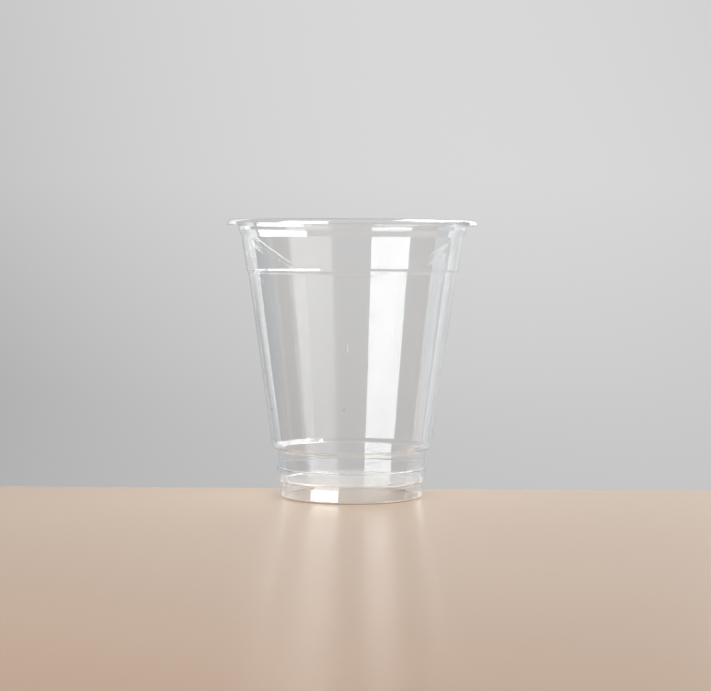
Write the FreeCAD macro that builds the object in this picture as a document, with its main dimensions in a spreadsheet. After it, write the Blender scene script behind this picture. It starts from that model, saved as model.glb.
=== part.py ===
import FreeCAD, Part
import os
import Sketcher

# A disposable cold-drink cup, formed from one clear plastic sheet.
# The model is in millimetres, +Z up. The origin is the centre of the foot, on the table.
# The cup is a single sheet of even thickness, so it is drawn as one line: the side of the
# sheet that faces the table and the hand. The line starts at the axis, under the raised
# floor, runs round the foot and up the wall, and ends at the edge of the turned-down lip.
# That line is given the sheet's thickness and turned about the axis.

# Sizes of the cup
SIZES = [
    ("height", 108.3, "table to the top of the lip"),
    ("rim_diameter", 98.0, "across the turned-down lip"),
    ("sheet_thickness", 0.28, "formed sheet, even all over"),
    ("lip_height", 2.3, "turned-down lip, top to lower edge"),
    ("lip_width", 3.45, "turned-down lip, mouth to outer edge"),
    ("lip_rounding", 1.4, "inside of the bend at the outer edge of the lip"),
    ("mouth_rounding", 2.1, "inside of the bend where the sheet turns over into the lip"),
    ("mouth_flare", 1.14, "widening of the sheet from the lid band to the mouth"),
    ("mouth_flare_height", 2.85, "top of the lip down to the top of the lid band"),
    ("band_flare", 0.2, "widening of the lid band over its height"),
    ("band_height", 1.45, "lid band, above the neck step"),
    ("neck_step_width", 1.15, "step outward from the wall to the lid band"),
    ("neck_step_height", 2.45, "rise of that step"),
    ("bead_depth", 19.9, "top of the lip down to the top of the small step in the wall"),
    ("upper_wall_taper", 1.95, "narrowing of the wall above the small step"),
    ("bead_width", 0.65, "small step inward in the wall"),
    ("bead_height", 1.0, "drop of the small step"),
    ("ledge_diameter", 62.5, "lower end of the tapered wall, at the stacking ledge"),
    ("ledge_level", 19.6, "outer edge of the stacking ledge above the table"),
    ("ledge_drop", 1.4, "fall of the ledge towards the axis"),
    ("waist_diameter", 58.1, "upper end of the narrow band under the ledge"),
    ("waist_taper", 0.35, "narrowing of that band towards the table"),
    ("waist_level", 11.8, "lower end of the narrow band above the table"),
    ("belly_diameter", 58.7, "upper end of the bulge above the foot"),
    ("belly_taper", 0.75, "narrowing of the bulge towards the table"),
    ("belly_top_level", 11.5, "upper end of the bulge above the table"),
    ("belly_bottom_level", 6.3, "lower end of the bulge above the table"),
    ("foot_diameter", 56.2, "outside of the foot ring at the table"),
    ("foot_draft", 0.5, "narrowing of the foot ring towards the bulge"),
    ("foot_top_level", 5.3, "where the foot ring leaves the bulge, above the table"),
    ("foot_width", 2.3, "foot ring, outside to inside at the table"),
    ("floor_level", 6.3, "underside of the raised floor above the table"),
    ("floor_draft", 0.5, "narrowing of the space under the floor over its height"),
    ("foot_rounding", 0.7, "both lower edges of the foot ring"),
    ("floor_rounding", 0.8, "edge of the raised floor"),
    ("foot_top_rounding", 0.4, "where the foot ring meets the bulge"),
    ("belly_rounding", 0.6, "lower bend of the bulge"),
    ("belly_top_rounding", 0.25, "upper bend of the bulge"),
    ("waist_rounding", 0.25, "where the bulge meets the narrow band"),
    ("ledge_rounding", 0.7, "both bends of the stacking ledge"),
    ("bead_rounding", 0.4, "both bends of the small step"),
    ("neck_rounding", 0.5, "bends of the neck step and the lid band"),
]

# Corners of the line before they are rounded: name, distance from the axis, height, rounding
LIP_TOP = "Sizes.height - Sizes.sheet_thickness"
LIP_EDGE = "Sizes.rim_diameter / 2 - Sizes.sheet_thickness"
MOUTH = "Sizes.rim_diameter / 2 - Sizes.lip_width + Sizes.sheet_thickness"
BAND_TOP = MOUTH + " - Sizes.mouth_flare"
BAND_TOP_LEVEL = "Sizes.height - Sizes.mouth_flare_height"
BAND_FOOT = BAND_TOP + " - Sizes.band_flare"
BAND_FOOT_LEVEL = BAND_TOP_LEVEL + " - Sizes.band_height"
WALL_TOP = BAND_FOOT + " - Sizes.neck_step_width"
BEAD_TOP = WALL_TOP + " - Sizes.upper_wall_taper"
BEAD_LEVEL = "Sizes.height - Sizes.bead_depth"

CORNERS = [
    ("floor_centre", None, "Sizes.floor_level", None),
    ("floor_edge", "Sizes.foot_diameter / 2 - Sizes.foot_width - Sizes.floor_draft", "Sizes.floor_level",
     "Sizes.floor_rounding"),
    ("foot_inside", "Sizes.foot_diameter / 2 - Sizes.foot_width", None, "Sizes.foot_rounding"),
    ("foot_outside", "Sizes.foot_diameter / 2", None, "Sizes.foot_rounding"),
    ("foot_top", "Sizes.foot_diameter / 2 - Sizes.foot_draft", "Sizes.foot_top_level",
     "Sizes.foot_top_rounding"),
    ("belly_bottom", "Sizes.belly_diameter / 2 - Sizes.belly_taper", "Sizes.belly_bottom_level",
     "Sizes.belly_rounding"),
    ("belly_top", "Sizes.belly_diameter / 2", "Sizes.belly_top_level", "Sizes.belly_top_rounding"),
    ("waist", "Sizes.waist_diameter / 2 - Sizes.waist_taper", "Sizes.waist_level", "Sizes.waist_rounding"),
    ("ledge_inside", "Sizes.waist_diameter / 2", "Sizes.ledge_level - Sizes.ledge_drop",
     "Sizes.ledge_rounding"),
    ("ledge_outside", "Sizes.ledge_diameter / 2", "Sizes.ledge_level", "Sizes.ledge_rounding"),
    ("bead_bottom", BEAD_TOP + " - Sizes.bead_width", BEAD_LEVEL + " - Sizes.bead_height",
     "Sizes.bead_rounding"),
    ("bead_top", BEAD_TOP, BEAD_LEVEL, "Sizes.bead_rounding"),
    ("wall_top", WALL_TOP, BAND_FOOT_LEVEL + " - Sizes.neck_step_height", "Sizes.neck_rounding"),
    ("band_foot", BAND_FOOT, BAND_FOOT_LEVEL, "Sizes.neck_rounding"),
    ("band_top", BAND_TOP, BAND_TOP_LEVEL, "Sizes.neck_rounding"),
    ("mouth", MOUTH, LIP_TOP, "Sizes.mouth_rounding"),
    ("lip_top", LIP_EDGE, LIP_TOP, "Sizes.lip_rounding"),
    ("lip_end", LIP_EDGE, "Sizes.height - Sizes.lip_height", None),
]


def origin_plane(body, role):
    for feature in body.Origin.OriginFeatures:
        if feature.Role == role:
            return feature
    raise ValueError("the body has no plane " + role)


def sizes_sheet(doc):
    sheet = doc.addObject("Spreadsheet::Sheet", "Sizes")
    for row, (alias, value, meaning) in enumerate(SIZES, start=1):
        sheet.set("A%d" % row, meaning)
        sheet.set("B%d" % row, str(value))
        sheet.setAlias("B%d" % row, alias)
    return sheet


def hold_corner(sketch, line, end, name, distance, level):
    # A corner without a distance is on the axis, and one without a level is on the table.
    if distance is None:
        sketch.addConstraint(Sketcher.Constraint("PointOnObject", line, end, -2))
    else:
        index = sketch.addConstraint(Sketcher.Constraint("DistanceX", -1, 1, line, end, 1.0))
        sketch.renameConstraint(index, name + "_distance")
        sketch.setExpression("Constraints." + name + "_distance", distance)
    if level is None:
        sketch.addConstraint(Sketcher.Constraint("PointOnObject", line, end, -1))
    else:
        index = sketch.addConstraint(Sketcher.Constraint("DistanceY", -1, 1, line, end, 1.0))
        sketch.renameConstraint(index, name + "_level")
        sketch.setExpression("Constraints." + name + "_level", level)


def round_corner(sketch, first_line, name, rounding):
    # The arc starts small and takes its real radius from the sizes.
    before = sketch.Geometry[first_line]
    after = sketch.Geometry[first_line + 1]
    radius = 0.02 * min(before.length(), after.length())
    on_before = (before.StartPoint + before.EndPoint) / 2
    on_after = (after.StartPoint + after.EndPoint) / 2
    arc = sketch.GeometryCount
    sketch.fillet(first_line, first_line + 1, on_before, on_after, radius, True, True)
    index = sketch.addConstraint(Sketcher.Constraint("Radius", arc, radius))
    sketch.renameConstraint(index, name + "_rounding")
    sketch.setExpression("Constraints." + name + "_rounding", rounding)


def sheet_line(doc, body):
    sketch = body.newObject("Sketcher::SketchObject", "sheet_line")
    sketch.AttachmentSupport = [(origin_plane(body, "XZ_Plane"), "")]
    sketch.MapMode = "FlatFace"
    last = len(CORNERS) - 2
    for line in range(last + 1):
        start = FreeCAD.Vector(line + 1.0, line + 1.0, 0)
        end = FreeCAD.Vector(line + 2.0, line + 2.0, 0)
        sketch.addGeometry(Part.LineSegment(start, end))
    for line in range(last):
        sketch.addConstraint(Sketcher.Constraint("Coincident", line, 2, line + 1, 1))
    for line, (name, distance, level, rounding) in enumerate(CORNERS[:-1]):
        hold_corner(sketch, line, 1, name, distance, level)
    name, distance, level, rounding = CORNERS[-1]
    hold_corner(sketch, last, 2, name, distance, level)
    doc.recompute()
    for corner, (name, distance, level, rounding) in enumerate(CORNERS):
        if rounding:
            round_corner(sketch, corner - 1, name, rounding)
    doc.recompute()
    return sketch


def cup(doc):
    outline = doc.addObject("PartDesign::Body", "outline")
    line = sheet_line(doc, outline)
    section = doc.addObject("Part::Offset2D", "section")
    section.Source = line
    section.Mode = "Skin"
    section.Fill = True
    section.setExpression("Value", "Sizes.sheet_thickness")
    turned = doc.addObject("Part::Revolution", "cup")
    turned.Label = "cup"
    turned.Source = section
    turned.Axis = FreeCAD.Vector(0, 0, 1)
    turned.Angle = 360
    turned.Solid = True
    turned.Placement = FreeCAD.Placement()
    return turned


def check(doc, parts):
    for item in doc.Objects:
        if "Invalid" in item.State or "Error" in item.State:
            raise RuntimeError(item.Label + " failed")
    for item in parts:
        if item.Shape.isNull() or not item.Shape.isValid():
            raise RuntimeError(item.Label + " has no valid shape")


def main():
    doc = FreeCAD.newDocument("drinking_cup")
    sizes_sheet(doc)
    doc.recompute()
    parts = [cup(doc)]
    doc.recompute()
    check(doc, parts)
    os.makedirs("parts", exist_ok=True)
    for item in parts:
        item.Shape.exportStep("parts/" + item.Label + ".step")
        box = item.Shape.optimalBoundingBox()
        print(item.Label, "volume", round(item.Shape.Volume, 1), "solids", len(item.Shape.Solids),
              "size", round(box.XLength, 3), round(box.YLength, 3), round(box.ZLength, 3))


main()
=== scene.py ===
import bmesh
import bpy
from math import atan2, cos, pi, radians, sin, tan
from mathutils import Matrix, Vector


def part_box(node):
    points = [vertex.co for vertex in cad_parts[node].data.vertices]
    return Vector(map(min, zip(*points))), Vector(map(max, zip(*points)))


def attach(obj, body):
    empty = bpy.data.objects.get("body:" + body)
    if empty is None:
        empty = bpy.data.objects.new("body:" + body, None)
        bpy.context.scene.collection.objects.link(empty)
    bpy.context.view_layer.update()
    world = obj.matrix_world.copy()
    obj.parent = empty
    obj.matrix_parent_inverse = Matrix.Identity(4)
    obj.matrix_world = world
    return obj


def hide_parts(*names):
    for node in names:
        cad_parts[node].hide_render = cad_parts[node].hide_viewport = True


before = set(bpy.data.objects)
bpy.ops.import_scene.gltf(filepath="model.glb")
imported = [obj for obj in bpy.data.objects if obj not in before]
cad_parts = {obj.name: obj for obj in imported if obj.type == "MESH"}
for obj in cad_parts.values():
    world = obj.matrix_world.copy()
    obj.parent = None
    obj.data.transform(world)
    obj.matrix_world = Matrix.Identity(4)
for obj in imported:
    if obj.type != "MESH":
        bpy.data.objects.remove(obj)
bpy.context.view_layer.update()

# %% [markdown]
# A clear plastic cup for cold drinks stands on a pale table in front of grey paper. The real cup
# starts as one flat sheet of clear plastic, which is warmed and pulled into a mould, so the whole
# thing is a single skin of nearly even thickness. What the eye sees is hardly the cup itself: it
# is the paper behind it, a little darker, and the bright soft box in front, mirrored in four
# surfaces. So the work here is in two parts, a true skin and the right surroundings.

MM = 0.001
cup_low, cup_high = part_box("cup")
print("solid box", [round(v, 4) for v in cup_low], [round(v, 4) for v in cup_high])

# %% [markdown]
# The skin is drawn as one line, the side that faces the table and the hand. It starts at the axis
# under the raised floor, runs round the foot, up the wall and over into the turned-down lip. A
# corner is a place and a rounding, so each bend can be read off as a size, in millimetres.

# %% Sizes of the skin
HEIGHT = round(cup_high[2] / MM, 1)
LIP_RADIUS = round(cup_high[0] / MM, 1)
SHEET = 0.28
LIP_HEIGHT = 2.3
LIP_WIDTH = 3.45
LIP_TOP_ROUNDING = 1.4
MOUTH_ROUNDING = 2.1
MOUTH_FLARE = 1.14
MOUTH_FLARE_HEIGHT = 2.85
BAND_FLARE = 0.2
BAND_HEIGHT = 1.45
NECK_STEP_WIDTH = 1.15
NECK_STEP_HEIGHT = 2.45
NECK_ROUNDING = 0.5
BEAD_DEPTH = 19.9
UPPER_WALL_TAPER = 1.95
BEAD_WIDTH = 0.65
BEAD_HEIGHT = 1.0
BEAD_ROUNDING = 0.4
LEDGE_RADIUS = 31.25
LEDGE_LEVEL = 19.6
LEDGE_DROP = 1.4
LEDGE_ROUNDING = 0.7
WAIST_RADIUS = 29.05
WAIST_TAPER = 0.35
WAIST_LEVEL = 11.8
WAIST_ROUNDING = 0.25
BELLY_RADIUS = 29.35
BELLY_TAPER = 0.75
BELLY_TOP = 11.5
BELLY_TOP_ROUNDING = 0.25
BELLY_BOTTOM = 6.3
BELLY_ROUNDING = 0.6
FOOT_RADIUS = 28.1
FOOT_DRAFT = 0.5
FOOT_TOP = 5.3
FOOT_TOP_ROUNDING = 0.4
FOOT_WIDTH = 2.3
FOOT_ROUNDING = 0.7
FLOOR_LEVEL = 6.3
FLOOR_DRAFT = 0.5
FLOOR_ROUNDING = 0.8

mouth = LIP_RADIUS - LIP_WIDTH + SHEET
band_top = mouth - MOUTH_FLARE
band_top_level = HEIGHT - MOUTH_FLARE_HEIGHT
band_foot = band_top - BAND_FLARE
band_foot_level = band_top_level - BAND_HEIGHT
wall_top = band_foot - NECK_STEP_WIDTH
bead_top = wall_top - UPPER_WALL_TAPER
bead_level = HEIGHT - BEAD_DEPTH
foot_inside = FOOT_RADIUS - FOOT_WIDTH
lip_edge = LIP_RADIUS - SHEET
lip_top = HEIGHT - SHEET

# Each corner: distance from the axis, height, rounding
skin_corners = [
    (0, FLOOR_LEVEL, 0),
    (foot_inside - FLOOR_DRAFT, FLOOR_LEVEL, FLOOR_ROUNDING),
    (foot_inside, 0, FOOT_ROUNDING),
    (FOOT_RADIUS, 0, FOOT_ROUNDING),
    (FOOT_RADIUS - FOOT_DRAFT, FOOT_TOP, FOOT_TOP_ROUNDING),
    (BELLY_RADIUS - BELLY_TAPER, BELLY_BOTTOM, BELLY_ROUNDING),
    (BELLY_RADIUS, BELLY_TOP, BELLY_TOP_ROUNDING),
    (WAIST_RADIUS - WAIST_TAPER, WAIST_LEVEL, WAIST_ROUNDING),
    (WAIST_RADIUS, LEDGE_LEVEL - LEDGE_DROP, LEDGE_ROUNDING),
    (LEDGE_RADIUS, LEDGE_LEVEL, LEDGE_ROUNDING),
    (bead_top - BEAD_WIDTH, bead_level - BEAD_HEIGHT, BEAD_ROUNDING),
    (bead_top, bead_level, BEAD_ROUNDING),
    (wall_top, band_foot_level - NECK_STEP_HEIGHT, NECK_ROUNDING),
    (band_foot, band_foot_level, NECK_ROUNDING),
    (band_top, band_top_level, NECK_ROUNDING),
    (mouth, lip_top, MOUTH_ROUNDING),
    (lip_edge, lip_top, LIP_TOP_ROUNDING),
    (lip_edge, HEIGHT - LIP_HEIGHT, 0),
]
print("corners in the line", len(skin_corners))

# %% [markdown]
# A bright strip in a glossy wall shows every fault in the mesh, so the bends need enough steps and
# the long walls need a ring close to each end. Without those rings the smooth shading of a bend
# would spread into the flat wall beside it and bow the reflections there.

# %% The line with its bends
BEND_STEP = radians(9)
END_RING = 0.12
WALL_RING = 3.0
SHORTEST_RUN = 4 * END_RING


def bend(before, corner, after, rounding):
    """The points of an arc that touches both lines at a corner."""
    corner = Vector(corner)
    one = (Vector(before) - corner).normalized()
    two = (Vector(after) - corner).normalized()
    half = one.angle(two) / 2
    centre = corner + (one + two).normalized() * rounding / sin(half)
    start = corner + one * rounding / tan(half) - centre
    end = corner + two * rounding / tan(half) - centre
    turn = pi - 2 * half
    steps = max(2, round(turn / BEND_STEP))
    way = 1 if start.x * end.y - start.y * end.x > 0 else -1
    first = atan2(start.y, start.x)
    angles = [first + way * turn * i / steps for i in range(steps + 1)]
    return [centre + Vector((cos(a), sin(a))) * rounding for a in angles]


def line_points(corners):
    """The rounded line: bends joined by straight runs with rings near their ends."""
    groups = [[Vector(corners[0][:2])]]
    for before, corner, after in zip(corners, corners[1:], corners[2:]):
        groups.append(bend(before[:2], corner[:2], after[:2], corner[2]))
    groups.append([Vector(corners[-1][:2])])
    points = list(groups[0])
    for group in groups[1:]:
        start = points[-1]
        run = group[0] - start
        if run.length > SHORTEST_RUN:
            inner = max(1, round((run.length - 2 * END_RING) / WALL_RING))
            near = END_RING / run.length
            points += [start + run * (near + (1 - 2 * near) * i / inner) for i in range(inner + 1)]
        points += group
    return points


skin_line = line_points(skin_corners)
print("points in the line", len(skin_line))

# %% [markdown]
# The line is turned about the axis with the spin operator, as the mould itself was turned on a
# lathe, and the skin then gets its thickness on the inner side. The seam closes by merging, and
# the floor's middle is one shared point.

# %% The skin
AROUND = 200
MERGE_WITHIN = 1e-7


def new_object(name, shape):
    """Put a finished bmesh into the scene as an object."""
    mesh = bpy.data.meshes.new(name)
    shape.to_mesh(mesh)
    shape.free()
    thing = bpy.data.objects.new(name, mesh)
    bpy.context.scene.collection.objects.link(thing)
    return thing


skin = bmesh.new()
skin_points = [skin.verts.new((p.x * MM, 0, p.y * MM)) for p in skin_line]
skin_edges = [skin.edges.new(pair) for pair in zip(skin_points, skin_points[1:])]
bmesh.ops.spin(skin, geom=skin_points + skin_edges, cent=(0, 0, 0), axis=(0, 0, 1), angle=2 * pi,
               steps=AROUND, use_merge=True)
bmesh.ops.remove_doubles(skin, verts=skin.verts, dist=MERGE_WITHIN)
bmesh.ops.recalc_face_normals(skin, faces=skin.faces)
low_face = min(skin.faces, key=lambda face: face.calc_center_median().z)
if low_face.normal.z > 0:
    bmesh.ops.reverse_faces(skin, faces=skin.faces)
for face in skin.faces:
    face.smooth = True
cup = new_object("cup_sheet", skin)
sheet = cup.modifiers.new("sheet", "SOLIDIFY")
sheet.thickness = SHEET * MM
sheet.offset = -1
sheet.use_even_offset = True
sheet.use_rim = True
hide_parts("cup")
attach(cup, "root")
print("faces of the skin before its thickness", len(cup.data.polygons))

# %% [markdown]
# Shaders are easier to read as sums than as boxes and wires. This small class holds one socket of
# a node tree, and adding, multiplying or comparing it adds the Math node that does so. Every other
# kind of node comes from its one method, node.

# %% Shader helpers


class Wire:
    """A socket that can be added, multiplied and compared like a number."""

    def __init__(self, tree, socket):
        self.tree = tree
        self.socket = socket

    def node(self, kind, settings=None, inputs=None, output=0):
        """Add one node: its settings first, then the values or wires of its sockets."""
        made = self.tree.nodes.new(kind)
        for name, value in (settings or {}).items():
            setattr(made, name, value)
        for name, value in (inputs or {}).items():
            if isinstance(value, Wire):
                self.tree.links.new(value.socket, made.inputs[name])
            else:
                made.inputs[name].default_value = value
        return Wire(self.tree, made.outputs[output])

    def maths(self, operation, first, second=0.0):
        return self.node("ShaderNodeMath", {"operation": operation}, {0: first, 1: second})

    def __add__(self, other):
        return self.maths("ADD", self, other)

    def __sub__(self, other):
        return self.maths("SUBTRACT", self, other)

    def __rsub__(self, other):
        return self.maths("SUBTRACT", other, self)

    def __mul__(self, other):
        return self.maths("MULTIPLY", self, other)

    def __lt__(self, other):
        return self.maths("LESS_THAN", self, other)

    __radd__ = __add__
    __rmul__ = __mul__

    def at_least(self, value):
        return self.maths("MAXIMUM", self, value)

    def at_most(self, value):
        return self.maths("MINIMUM", self, value)


def new_material(name):
    """An empty material, and a wire to start its tree from."""
    material = bpy.data.materials.new(name)
    material.use_nodes = True
    material.node_tree.nodes.clear()
    return material, Wire(material.node_tree, None)


def finish_material(start, surface):
    output = start.tree.nodes.new("ShaderNodeOutputMaterial")
    start.tree.links.new(surface.socket, output.inputs["Surface"])


def object_place(start):
    """The place on the piece, then its parts: across, away from the camera, and up."""
    place = start.node("ShaderNodeTexCoord", output="Object")
    split = start.node("ShaderNodeSeparateXYZ", inputs={0: place})
    across, away, up = [Wire(start.tree, part) for part in split.socket.node.outputs]
    return place, across, away, up


def mixed(share, first, second):
    """Two shaders in one: the second by its share, and the first by the rest."""
    return share.node("ShaderNodeMixShader", inputs={0: share, 1: first, 2: second})


print("shader helpers", [helper.__name__ for helper in (new_material, object_place, mixed)])

# %% [markdown]
# A cup as clean as a drawing looks like glass. The real one has one short scratch in the front
# wall and two specks of dust, no larger than a pin's head. Each is a test on the place, one inside
# the mark and zero outside, so a mark needs no picture and no mesh of its own.

# %% Marks on the front wall
SCRATCH_ACROSS = -1.56 * MM
SCRATCH_UP = 59.7 * MM
SCRATCH_HALF_WIDTH = 0.13 * MM
SCRATCH_HALF_LENGTH = 1.5 * MM
SPECKS = [(-2.9 * MM, 36.5 * MM), (-30.6 * MM, 35.0 * MM)]
SPECK_RADIUS = 0.28 * MM


def scratch_mark(across, up):
    aside = across.maths("ABSOLUTE", across - SCRATCH_ACROSS)
    above = up.maths("ABSOLUTE", up - SCRATCH_UP)
    return (aside < SCRATCH_HALF_WIDTH) * (above < SCRATCH_HALF_LENGTH)


def speck_marks(across, up):
    marks = 0.0
    for speck_across, speck_up in SPECKS:
        aside = across - speck_across
        above = up - speck_up
        marks = marks + (aside * aside + above * above < SPECK_RADIUS ** 2)
    return marks


print("specks of dust", len(SPECKS))

# %% [markdown]
# Clear cup plastic bends light a little more than window glass and mirrors about a twentieth at
# each surface. It needs both sides of a real wall for that. Fine streaks run up the wall, drawn
# out as the sheet was stretched, so a noise that is long in height and short across feeds a very
# weak bump. The thick base is a little hazy, and its floor has a fine texture.
#
# A lamp's light goes through such a thin skin almost unchanged, but a refracting surface blocks
# the rays that look for lamps, so for shadow rays the material is mostly see-through.

# %% Clear plastic
PLASTIC_IOR = 1.575
CLEAR = (0.979, 0.986, 0.992, 1)
SMOOTH = 0.01
STREAKS_PER_METRE = (320, 320, 6)
STREAK_DETAIL = 2.0
STREAK_STRENGTH = 0.07
STREAK_DEPTH = 0.1 * MM
BASE_TOP = 7.2 * MM
FLOOR_EDGE = 24.4 * MM
FLOOR_ROUGHNESS = 0.22
HAZE = (0.8, 0.8, 0.8, 1)
BASE_HAZE = 0.06
SCRATCH_HAZE = 0.3
DUST = (0.05, 0.05, 0.05, 1)
DUST_SHARE = 0.25
SHADOW_TINT = (0.93, 0.935, 0.93, 1)
BASE_SHADOW = 0.3


def clear_plastic():
    material, start = new_material("clear_plastic")
    place, across, away, up = object_place(start)
    stretched = start.node("ShaderNodeMapping", inputs={
        "Vector": place, "Scale": STREAKS_PER_METRE,
    })
    streaks = start.node("ShaderNodeTexNoise", inputs={
        "Vector": stretched, "Scale": 1.0, "Detail": STREAK_DETAIL,
    })
    bump = start.node("ShaderNodeBump", inputs={
        "Strength": STREAK_STRENGTH, "Distance": STREAK_DEPTH, "Height": streaks,
    })
    outward = start.maths("SQRT", across * across + away * away)
    in_base = up < BASE_TOP
    on_floor = (outward < FLOOR_EDGE) * in_base
    in_front = away < 0.0
    plastic = start.node("ShaderNodeBsdfPrincipled", inputs={
        "Base Color": CLEAR, "Roughness": on_floor * FLOOR_ROUGHNESS + SMOOTH,
        "IOR": PLASTIC_IOR, "Transmission Weight": 1.0, "Normal": bump,
    })
    haze = start.node("ShaderNodeBsdfDiffuse", inputs={"Color": HAZE})
    scratch = in_front * scratch_mark(across, up)
    plastic = mixed(in_base * BASE_HAZE + scratch * SCRATCH_HAZE, plastic, haze)
    dust = start.node("ShaderNodeBsdfDiffuse", inputs={"Color": DUST})
    specks = in_front * speck_marks(across, up)
    plastic = mixed(specks * DUST_SHARE, plastic, dust)
    see_through = start.node("ShaderNodeBsdfTransparent", inputs={"Color": SHADOW_TINT})
    shadow = start.node("ShaderNodeLightPath", output="Is Shadow Ray")
    open_share = shadow - shadow * in_base * BASE_SHADOW
    finish_material(start, mixed(open_share, plastic, see_through))
    return material


cup.data.materials.append(clear_plastic())
print("nodes in the clear plastic", len(cup.data.materials[0].node_tree.nodes))

# %% [markdown]
# The table is a plain warm surface with a thin varnish. It ends just behind the cup. The varnish
# matters, because the cup's front wall leans and mirrors the table, and the table mirrors the
# light. Its colour is a little deeper towards the camera.

# %% Table
TABLE_EDGE = 23 * MM
TABLE_REACH = 1.6
TABLE_NEAR_CUP = (0.47, 0.315, 0.19, 1)
TABLE_IN_FRONT = (0.34, 0.182, 0.076, 1)
TABLE_FADE = 0.34
TABLE_ROUGHNESS = 0.5
VARNISH_ROUGHNESS = 0.24


def table_material():
    material, start = new_material("pale_table")
    place, across, away, up = object_place(start)
    toward = away * (-1 / TABLE_FADE)
    colour = start.node("ShaderNodeMix", {"data_type": "RGBA"},
                        {"Factor": toward, 6: TABLE_NEAR_CUP, 7: TABLE_IN_FRONT}, output=2)
    surface = start.node("ShaderNodeBsdfPrincipled", inputs={
        "Base Color": colour, "Roughness": TABLE_ROUGHNESS,
        "Coat Weight": 1.0, "Coat Roughness": VARNISH_ROUGHNESS,
    })
    finish_material(start, surface)
    return material


ground = bmesh.new()
bmesh.ops.create_grid(ground, x_segments=1, y_segments=1, size=TABLE_REACH / 2)
bmesh.ops.translate(ground, verts=ground.verts, vec=(0, TABLE_EDGE - TABLE_REACH / 2, 0))
table = new_object("table", ground)
table.data.materials.append(table_material())
print("table edge behind the axis, mm", TABLE_EDGE / MM)

# %% [markdown]
# Behind the table lies a sheet of plain grey paper that sweeps up into a wall. It glows evenly
# instead of catching light, so its grey is the grey that is written. The grey rises with height
# and towards the right, as under the light of a real studio: that rise is painted light.
#
# Outside the picture the paper glows bright on both sides, which is painted light standing in for
# bright surroundings. The cup's own sides, seen edge on, mirror those parts, and that draws the
# pale outline that clear things need.

# %% Grey of the paper
BACKDROP_GREY = 0.535
GREY_AWAY = 0.08
GREY_UP = 0.5
GREY_UP_TO = 0.15
MIDDLE_HALF_WIDTH = 0.33
SLOPE = 0.42
SLOPE_AWAY = 0.2
SLOPE_UP = 0.42
CROWN = 1.5
CROWN_AWAY = 0.8
RIGHT_FROM = 0.3
RIGHT_GLOW = 4.2
RIGHT_RISE = 9.0
LEFT_FROM = 0.33
LEFT_GLOW = 2.3
FAR_FROM = 0.5
FAR_OVER = 0.4
DARKEST = 0.35
BRIGHTEST = 2.2


def paper_material():
    material, start = new_material("grey_paper")
    place, across, away, up = object_place(start)
    # Painted light: the grey rises away, with height and across the middle, as a studio's light
    # falls.
    grey = BACKDROP_GREY + away * GREY_AWAY + up.at_most(GREY_UP_TO) * GREY_UP
    middle = across.at_least(-MIDDLE_HALF_WIDTH).at_most(MIDDLE_HALF_WIDTH)
    slope = SLOPE - away * SLOPE_AWAY - up * SLOPE_UP
    crown = CROWN - away * CROWN_AWAY
    # Painted light: beyond the picture the paper glows bright on the right, rising with height,
    # and on the left.
    right = (across - RIGHT_FROM).at_least(0.0) * (up * RIGHT_RISE).at_most(1.0)
    left = (0.0 - across - LEFT_FROM).at_least(0.0)
    far = ((away - FAR_FROM) * (1 / FAR_OVER)).at_least(0.0).at_most(1.0)
    grey = grey + middle * slope + (right * RIGHT_GLOW + left * LEFT_GLOW) * far
    grey = (grey - middle * middle * crown).at_least(DARKEST).at_most(BRIGHTEST)
    colour = start.node("ShaderNodeCombineColor", inputs={0: grey, 1: grey, 2: grey})
    surface = start.node("ShaderNodeEmission", inputs={"Color": colour, "Strength": 1.0})
    finish_material(start, surface)
    return material


grey_paper = paper_material()
print("nodes in the grey paper", len(grey_paper.node_tree.nodes))

# %% [markdown]
# The sweep is one bent line pulled sideways. A wall that met the floor in a corner would show a
# line there, so the paper turns up in a wide arc. It starts at the table's edge, half a millimetre
# lower.

# %% Paper
PAPER_DISTANCE = 0.9
PAPER_HALF_WIDTH = 0.965
PAPER_RISE = 0.9
PAPER_BEND = 0.25
PAPER_BEND_STEPS = 16
PAPER_DROP = 0.5 * MM

sweep = bmesh.new()
path = [(TABLE_EDGE, -PAPER_DROP), (PAPER_DISTANCE - PAPER_BEND, -PAPER_DROP)]
for i in range(1, PAPER_BEND_STEPS):
    turn = pi / 2 * i / PAPER_BEND_STEPS
    path.append((PAPER_DISTANCE - PAPER_BEND + PAPER_BEND * sin(turn),
                 -PAPER_DROP + PAPER_BEND * (1 - cos(turn))))
path += [(PAPER_DISTANCE, PAPER_BEND - PAPER_DROP), (PAPER_DISTANCE, PAPER_RISE)]
strip = [sweep.verts.new((-PAPER_HALF_WIDTH, y, z)) for y, z in path]
strip_edges = [sweep.edges.new(pair) for pair in zip(strip, strip[1:])]
pulled = bmesh.ops.extrude_edge_only(sweep, edges=strip_edges)
moved = [v for v in pulled["geom"] if isinstance(v, bmesh.types.BMVert)]
bmesh.ops.translate(sweep, verts=moved, vec=(2 * PAPER_HALF_WIDTH, 0, 0))
paper = new_object("paper", sweep)
paper.data.materials.append(grey_paper)
print("faces of the paper", len(paper.data.polygons))

# %% [markdown]
# Two soft boxes light the cup. The first stands in front on the left. Its picture in the hollow
# back wall is the white strip on the right of the cup, and its picture by way of the table is the
# paler strip on the left. The second is larger and higher, and stands on the right. Its pictures
# are the white streaks in the lip, the small step and the ledge, on the left, and the short arcs
# under the neck.
#
# Those streaks need a bright light, and the table needs a softer one. So the second box has a twin
# that shines on glossy surfaces alone. It stands a centimetre nearer, because two lamps in
# exactly the same place take light from each other.

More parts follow.
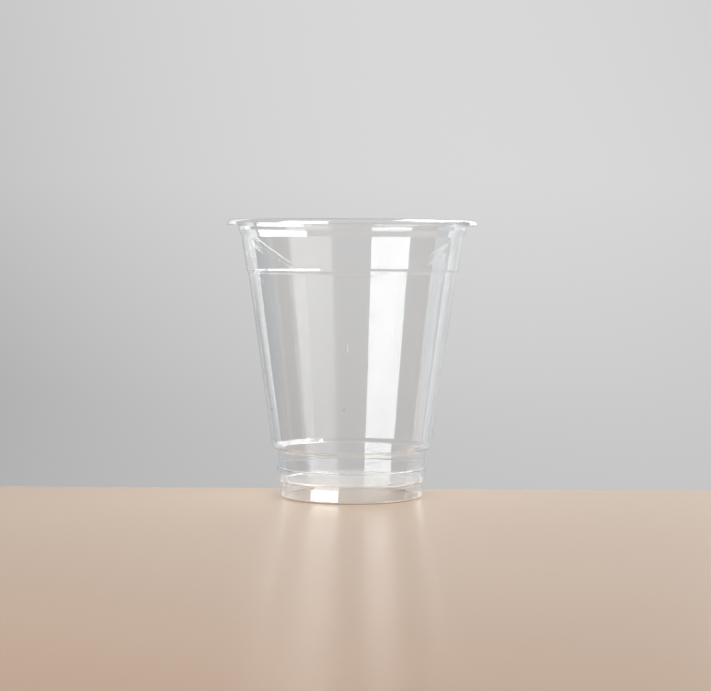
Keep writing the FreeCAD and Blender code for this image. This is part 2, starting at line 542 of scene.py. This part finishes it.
# %% Soft boxes
BOX_DISTANCE = 0.7
BOX_TURN = radians(135.5)
BOX_SIZE = (0.60, 0.79)
BOX_MIDDLE = 0.40
BOX_RADIANCE = 4.8
HIGH_DISTANCE = 0.70
HIGH_TURN = radians(-79.5)
HIGH_SIZE = (0.97, 0.8)
HIGH_MIDDLE = 0.835
HIGH_AIM = 0.248
HIGH_RADIANCE = 3.9
GLOW_DISTANCE = HIGH_DISTANCE - 0.01
GLOW_RADIANCE = 2.2


def soft_box(name, distance, turn, size, middle, aim_height, radiance):
    """A rectangle of light, turned from straight behind the cup towards the left."""
    lamp = bpy.data.lights.new(name, "AREA")
    lamp.shape = "RECTANGLE"
    lamp.size, lamp.size_y = size
    lamp.energy = radiance * pi * size[0] * size[1]
    thing = bpy.data.objects.new(name, lamp)
    bpy.context.scene.collection.objects.link(thing)
    thing.location = (-distance * sin(turn), distance * cos(turn), middle)
    aim = Vector((0, 0, aim_height)) - thing.location
    thing.rotation_euler = aim.to_track_quat("-Z", "Y").to_euler()
    return thing


box = soft_box("soft_box", BOX_DISTANCE, BOX_TURN, BOX_SIZE, BOX_MIDDLE, BOX_MIDDLE, BOX_RADIANCE)
high_box = soft_box("high_box", HIGH_DISTANCE, HIGH_TURN, HIGH_SIZE, HIGH_MIDDLE, HIGH_AIM,
                    HIGH_RADIANCE)
high_glow = soft_box("high_glow", GLOW_DISTANCE, HIGH_TURN, HIGH_SIZE, HIGH_MIDDLE, HIGH_AIM,
                     GLOW_RADIANCE)
high_glow.visible_diffuse = False
print("watts", [round(lamp.data.energy, 2) for lamp in (box, high_box, high_glow)])

# %% [markdown]
# Clear things are drawn by what stands beside them. Three black cards and a white one stand round
# the cup, outside the picture, and their pictures in the hollow back wall are the darker and paler
# bands beside the strips of light. They glow evenly, as the paper does.

# %% Cards
CARD_DISTANCE = 1.3
CARD_TOP = 0.6
BLACK_FOOT = -0.05
WHITE_FOOT = 0.02
BLACK = 0.03
WHITE = 0.6


def card(name, turns, foot, value):
    """A flat upright card between two turns, in degrees from straight behind to the left."""
    first, second = [(-CARD_DISTANCE * sin(radians(turn)), CARD_DISTANCE * cos(radians(turn)))
                     for turn in turns]
    shape = bmesh.new()
    shape.faces.new([shape.verts.new(corner) for corner in (
        (*first, foot), (*second, foot), (*second, CARD_TOP), (*first, CARD_TOP))])
    thing = new_object(name, shape)
    material, start = new_material(name)
    glow = start.node("ShaderNodeEmission", inputs={"Color": (value, value, value, 1)})
    finish_material(start, glow)
    thing.data.materials.append(material)
    return thing


card("black_card", (-46.5, -74), BLACK_FOOT, BLACK)
card("black_card_2", (-82, -108), BLACK_FOOT, BLACK)
card("black_card_3", (78, 111), BLACK_FOOT, BLACK)
card("white_card", (48, 77), WHITE_FOOT, WHITE)
print("cards stand at", CARD_DISTANCE, "m")

# %% [markdown]
# The rest of the room is a dim grey. A ray crosses many surfaces of a clear cup before it comes
# out, and it needs enough bounces for that, or the cup turns dark.

# %% Room
ROOM = 0.33
CLEAR_BOUNCES = 32
MIRROR_BOUNCES = 16

world = bpy.data.worlds.new("room")
world.use_nodes = True
world.node_tree.nodes["Background"].inputs["Color"].default_value = (ROOM, ROOM, ROOM, 1)
scene = bpy.context.scene
scene.world = world
scene.view_settings.view_transform = "Standard"
scene.cycles.max_bounces = CLEAR_BOUNCES
scene.cycles.transmission_bounces = CLEAR_BOUNCES
scene.cycles.glossy_bounces = MIRROR_BOUNCES
print("room grey", ROOM)

# %% [markdown]
# The camera stands about 0.78 m away, just under the level of the lip, and looks slightly down.
# Its lens is given in pixels of the picture, which is how a camera is found from the cup's own
# circles.

# %% Camera
FOCAL_PIXELS = 2000
PHOTO_WIDTH = 711
SENSOR_WIDTH = 36
CAMERA_DISTANCE = 0.782
CAMERA_HEIGHT = 0.1003
CAMERA_ASIDE = 1.1 * MM
LOOK_DOWN = radians(3.02)
LEAN = radians(-0.32)

lens = bpy.data.cameras.new("camera")
lens.sensor_fit = "HORIZONTAL"
lens.sensor_width = SENSOR_WIDTH
lens.lens = FOCAL_PIXELS / PHOTO_WIDTH * SENSOR_WIDTH
camera = bpy.data.objects.new("camera", lens)
scene.collection.objects.link(camera)
camera.location = (CAMERA_ASIDE, -CAMERA_DISTANCE, CAMERA_HEIGHT)
camera.rotation_euler = (pi / 2 - LOOK_DOWN, LEAN, 0)
scene.camera = camera
print("lens, mm", round(lens.lens, 1))
